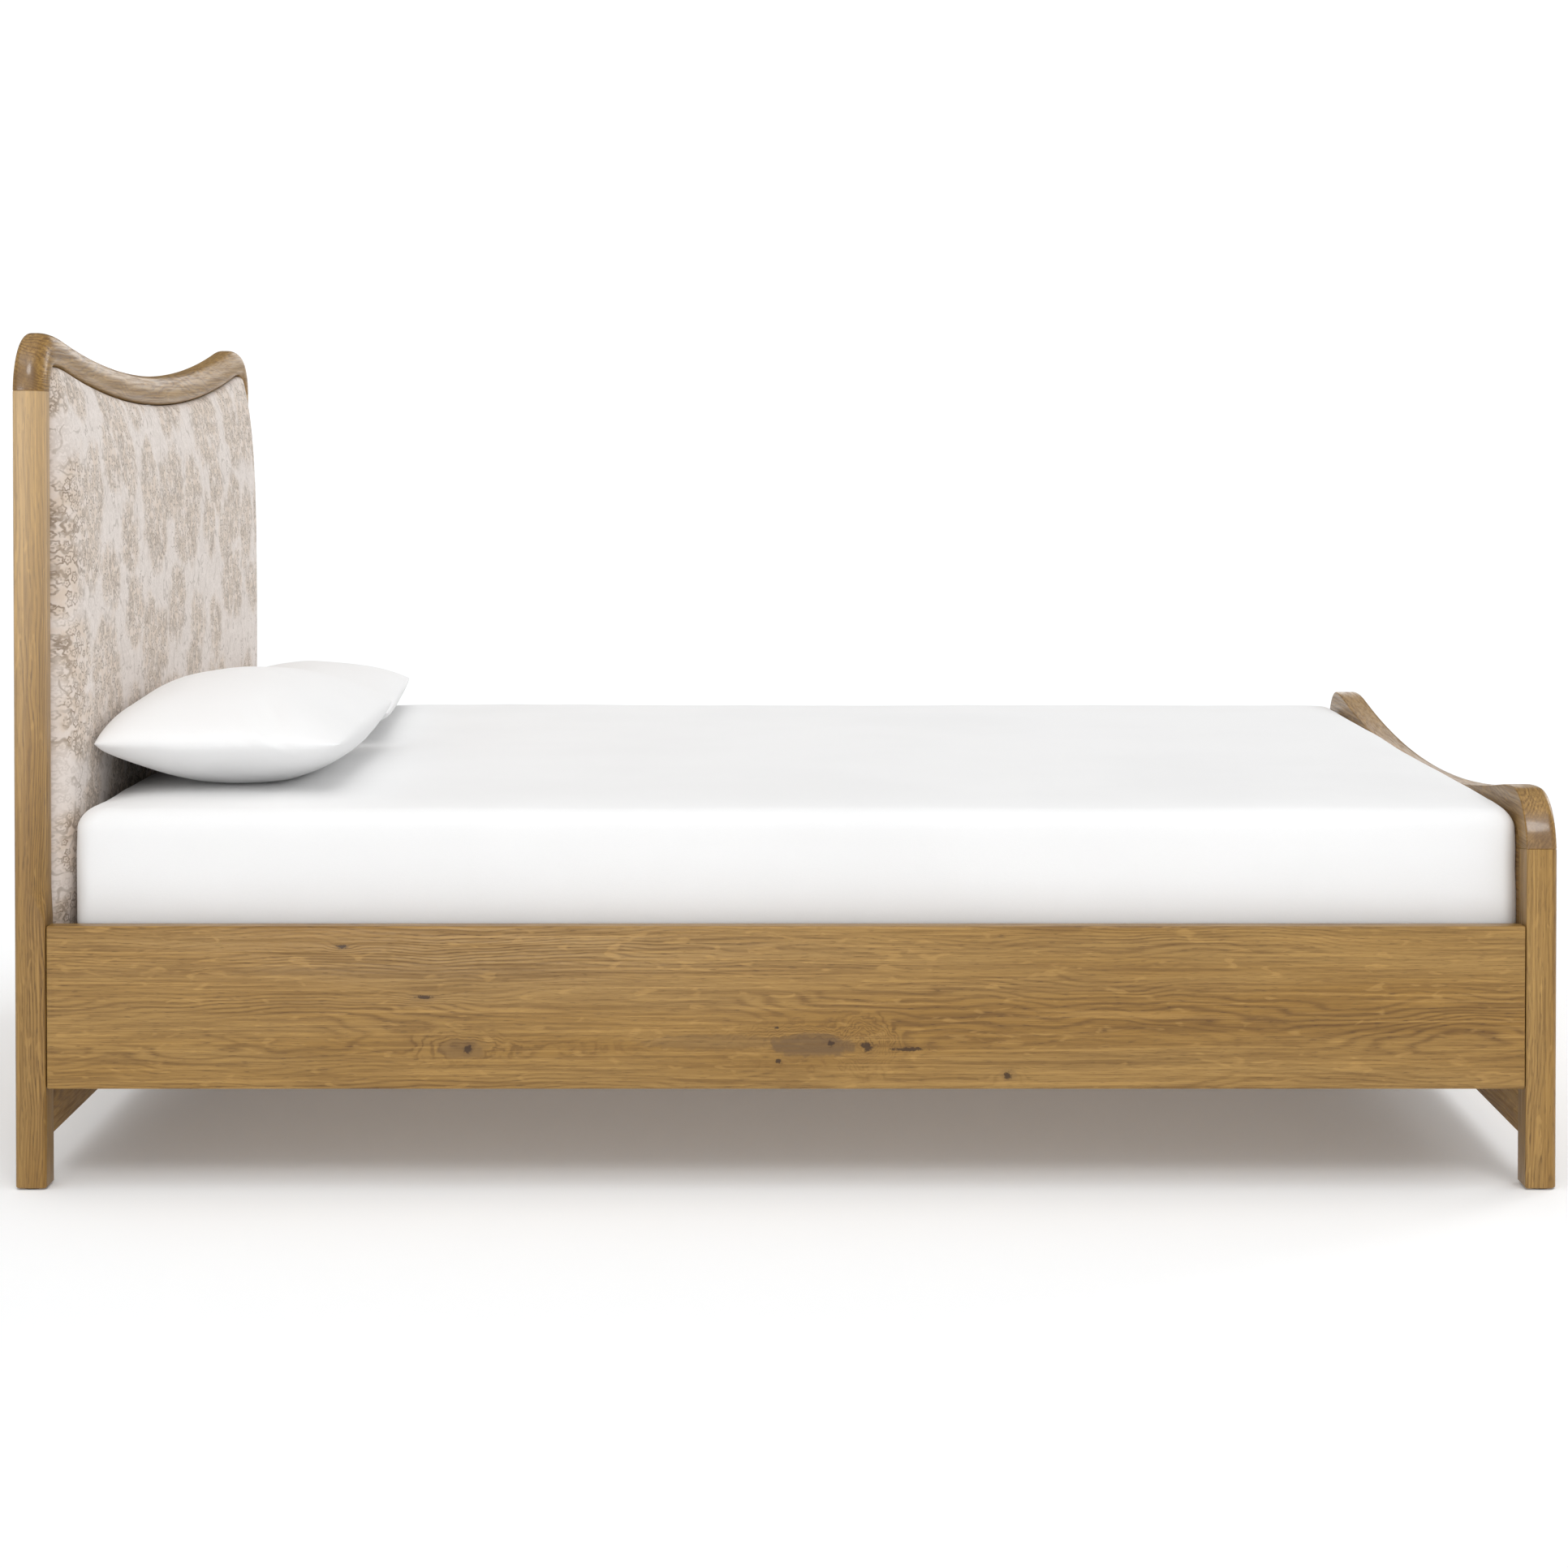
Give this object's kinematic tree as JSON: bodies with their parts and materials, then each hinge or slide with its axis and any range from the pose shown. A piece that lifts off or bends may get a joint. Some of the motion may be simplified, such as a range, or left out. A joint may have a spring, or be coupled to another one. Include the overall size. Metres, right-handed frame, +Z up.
{
  "type": "sleigh bed",
  "caption": "Oak bed with scooped headboard and footboard, upholstered headboard panel, side rails on a slatted base, mattress and pillows.",
  "frame": {"origin": "on the floor under the middle of the bed", "axes": "+X along the bed from the head to the foot, +Y to the right side seen from the foot, +Z up"},
  "size_m": [2.156, 1.63, 1.2],
  "materials": {
    "oak": "satin",
    "oak_veneer": "satin",
    "softwood": "matte",
    "slat_wood": "matte",
    "plywood": "matte",
    "beech_dowel": "matte",
    "foam": "matte",
    "printed_fabric": "matte",
    "glide_plastic": "matte",
    "foot_plastic": "matte",
    "zinc_steel": "satin",
    "screw_steel": "satin",
    "brass_insert": "satin",
    "spring_steel": "satin",
    "mattress_ticking": "matte",
    "white_cotton": "matte",
    "pillow_cotton": "matte"
  },
  "bodies": {
    "frame": {"headboard_post_left": "oak", "headboard_post_right": "oak", "headboard_crest_rail": "oak", "headboard_bottom_rail": "oak", "headboard_batten_left": "softwood", "headboard_batten_right": "softwood", "headboard_backer_board": "plywood", "headboard_foam_pad": "foam", "headboard_fabric_cover": "printed_fabric", "headboard_back_panel": "oak_veneer", "footboard_post_left": "oak", "footboard_post_right": "oak", "footboard_crest_rail": "oak", "footboard_panel": "oak_veneer", "footboard_bottom_rail": "oak", "crest_dowels": "beech_dowel", "floor_glides": "glide_plastic", "side_rail_left": "oak", "side_rail_right": "oak", "rail_hooks_left": "zinc_steel", "rail_hooks_right": "zinc_steel", "post_sockets_head": "zinc_steel", "post_sockets_foot": "zinc_steel", "bracket_screws": "screw_steel", "slat_ledger_left": "softwood", "slat_ledger_right": "softwood", "ledger_screws": "screw_steel", "slat_screws": "screw_steel", "centre_beam": "softwood", "beam_hanger_head": "zinc_steel", "beam_hanger_foot": "zinc_steel", "hanger_screws": "screw_steel", "centre_leg_head": "softwood", "centre_leg_middle": "softwood", "centre_leg_foot": "softwood", "leg_inserts": "brass_insert", "slat_1": "slat_wood", "slat_2": "slat_wood", "slat_3": "slat_wood", "slat_4": "slat_wood", "slat_5": "slat_wood", "slat_6": "slat_wood", "slat_7": "slat_wood", "slat_8": "slat_wood", "slat_9": "slat_wood", "slat_10": "slat_wood", "slat_11": "slat_wood", "slat_12": "slat_wood"},
    "mattress": {"mattress_top_pad": "mattress_ticking", "mattress_border": "mattress_ticking", "mattress_bottom_pad": "mattress_ticking", "mattress_spring_unit": "spring_steel", "fitted_sheet": "white_cotton"},
    "pillow_left": {"pillow_left": "pillow_cotton"},
    "pillow_right": {"pillow_right": "pillow_cotton"},
    "levelling_foot_head": {"levelling_foot_head": "foot_plastic"},
    "levelling_foot_middle": {"levelling_foot_middle": "foot_plastic"},
    "levelling_foot_foot": {"levelling_foot_foot": "foot_plastic"}
  },
  "joints": [
    {"name": "mattress_lift", "type": "slide", "parent": "frame", "child": "mattress", "axis": [0, 0, 1], "range_m": [0, 0.95]},
    {"name": "pillow_left_lift", "type": "slide", "parent": "mattress", "child": "pillow_left", "axis": [0, 0, 1], "range_m": [0, 0.3]},
    {"name": "pillow_right_lift", "type": "slide", "parent": "mattress", "child": "pillow_right", "axis": [0, 0, 1], "range_m": [0, 0.3]},
    {"name": "foot_screw_head", "type": "slide", "parent": "frame", "child": "levelling_foot_head", "axis": [0, 0, 1], "range_m": [0, 0.012]},
    {"name": "foot_screw_middle", "type": "slide", "parent": "frame", "child": "levelling_foot_middle", "axis": [0, 0, 1], "range_m": [0, 0.012]},
    {"name": "foot_screw_foot", "type": "slide", "parent": "frame", "child": "levelling_foot_foot", "axis": [0, 0, 1], "range_m": [0, 0.012]}
  ]
}
